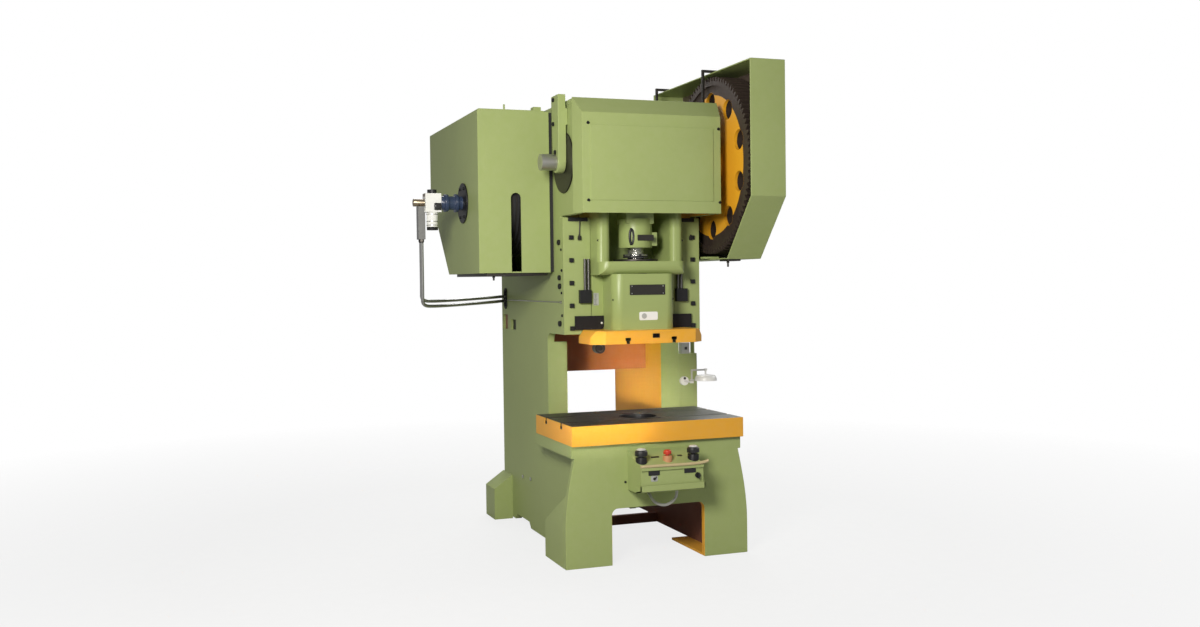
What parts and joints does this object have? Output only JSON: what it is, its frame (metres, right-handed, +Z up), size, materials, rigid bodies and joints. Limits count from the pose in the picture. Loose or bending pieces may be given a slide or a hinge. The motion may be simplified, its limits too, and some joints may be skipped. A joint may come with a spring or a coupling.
{
  "type": "mechanical stamping press",
  "caption": "Open-front C-frame crank press with bolster, gibbed slide, ball-ended connecting rod, geared crankshaft, belt-driven flywheel, guards and two-hand controls.",
  "frame": {"origin": "middle of the machine's overall box, on the floor", "axes": "+X to the operator's right, +Y to the rear, +Z up; the operator stands on the -Y side"},
  "size_m": [2.02, 2.23, 3.034],
  "materials": {
    "green_paint": "satin enamel",
    "amber_paint": "satin enamel",
    "machined_steel": "turned",
    "dark_steel": "oiled",
    "black_oxide": "black oxide",
    "bronze": "machined",
    "belt_rubber": "matte",
    "zinc_alloy": "cast",
    "grey_conduit": "ribbed",
    "white_enamel": "gloss enamel",
    "grey_plastic": "moulded",
    "black_plastic": "moulded",
    "red_plastic": "moulded"
  },
  "bodies": {
    "frame": {"left_side_frame": "green_paint", "right_side_frame": "green_paint", "front_apron": "green_paint", "bed_plate": "green_paint", "bolster_plate": "amber_paint", "throat_web": "amber_paint", "rear_plates": "green_paint", "foot_tie": "amber_paint", "foot_plates": "amber_paint", "crown_plate": "green_paint", "head_cover": "green_paint", "outboard_arm": "green_paint", "main_bushes": "bronze", "left_guide": "green_paint", "right_guide": "green_paint", "left_front_gib": "green_paint", "right_front_gib": "green_paint", "gib_bolts": "black_oxide", "stop_rods": "machined_steel", "stop_blocks": "black_oxide", "flywheel_cover": "green_paint", "cover_lid": "green_paint", "cover_brackets": "green_paint", "gear_guard": "green_paint", "guard_stays": "dark_steel", "pinion_bearings": "machined_steel", "rotary_union": "dark_steel", "air_valve": "zinc_alloy", "air_lines": "machined_steel", "motor": "green_paint", "motor_base": "green_paint", "drive_belts": "belt_rubber", "control_box": "green_paint", "conduit_loop": "grey_conduit", "electrical_cabinet": "green_paint", "lamp_switch_box": "grey_plastic", "lamp_base": "white_enamel"},
    "crank": {"crankshaft": "machined_steel", "bull_gear": "amber_paint", "crank_disc": "dark_steel"},
    "pinion": {"pinion_shaft": "machined_steel", "drive_pinion": "dark_steel", "clutch": "dark_steel"},
    "flywheel": {"flywheel": "dark_steel"},
    "pulley": {"motor_pulley": "dark_steel"},
    "slide": {"slide": "green_paint", "slide_plate": "amber_paint", "oil_catchers": "black_oxide", "ball_seat": "bronze", "ball_retainer": "dark_steel"},
    "screw": {"ball_screw": "machined_steel"},
    "rod": {"connecting_rod": "green_paint", "rod_cap": "green_paint", "crank_pin": "machined_steel"},
    "left_palm": {"left_palm_button": "black_plastic"},
    "right_palm": {"right_palm_button": "black_plastic"},
    "stop_button": {"emergency_stop": "red_plastic"},
    "selector": {"selector_switch": "black_plastic"},
    "lamp_arm": {"lamp_arm": "zinc_alloy"},
    "lamp_shade": {"lamp_shade": "white_enamel"}
  },
  "joints": [
    {"name": "crank_spin", "type": "hinge", "parent": "frame", "child": "crank", "pos_m": [0.27, -0.515, 2.432], "axis": [1, 0, 0], "continuous": true},
    {"name": "pinion_spin", "type": "hinge", "parent": "frame", "child": "pinion", "pos_m": [0.27, 0.11001, 2.21996], "axis": [1, 0, 0], "continuous": true},
    {"name": "flywheel_spin", "type": "hinge", "parent": "frame", "child": "flywheel", "pos_m": [-0.41, 0.11001, 2.21996], "axis": [1, 0, 0], "continuous": true},
    {"name": "motor_pulley_spin", "type": "hinge", "parent": "frame", "child": "pulley", "pos_m": [-0.41, 0.905, 2.5], "axis": [1, 0, 0], "continuous": true},
    {"name": "slide_stroke", "type": "slide", "parent": "frame", "child": "slide", "axis": [0, 0, 1], "range_m": [-0.16, 0]},
    {"name": "rod_swing", "type": "hinge", "parent": "slide", "child": "screw", "pos_m": [0.27, -0.515, 1.69], "axis": [1, 0, 0], "range_deg": [-5.6, 5.6]},
    {"name": "shut_height_adjust", "type": "slide", "parent": "screw", "child": "rod", "axis": [0, 0, 1], "range_m": [-0.036, 0.064]},
    {"name": "left_palm_press", "type": "slide", "parent": "frame", "child": "left_palm", "axis": [0, 0, 1], "range_m": [-0.008, 0], "stiffness_N_per_m": 1500, "springref_m": 0.002},
    {"name": "right_palm_press", "type": "slide", "parent": "frame", "child": "right_palm", "axis": [0, 0, 1], "range_m": [-0.008, 0], "stiffness_N_per_m": 1500, "springref_m": 0.002},
    {"name": "emergency_stop_press", "type": "slide", "parent": "frame", "child": "stop_button", "axis": [0, 0, 1], "range_m": [-0.006, 0], "stiffness_N_per_m": 1500, "springref_m": 0.002},
    {"name": "selector_turn", "type": "hinge", "parent": "frame", "child": "selector", "pos_m": [0.432, -1.055, 0.545], "axis": [0, 1, 0], "range_deg": [-45, 45]},
    {"name": "lamp_arm_swing", "type": "hinge", "parent": "frame", "child": "lamp_arm", "pos_m": [0.765, -0.258, 1.028], "axis": [0, 0, 1], "range_deg": [-60, 10]},
    {"name": "lamp_shade_tilt", "type": "hinge", "parent": "lamp_arm", "child": "lamp_shade", "pos_m": [0.867, -0.258, 1.102], "axis": [1, 0, 0], "range_deg": [-30, 30]}
  ],
  "couplings": [
    {"joint": "pinion_spin", "follows": "crank_spin", "ratio": -5.1111},
    {"joint": "motor_pulley_spin", "follows": "flywheel_spin", "ratio": 3.7473}
  ]
}
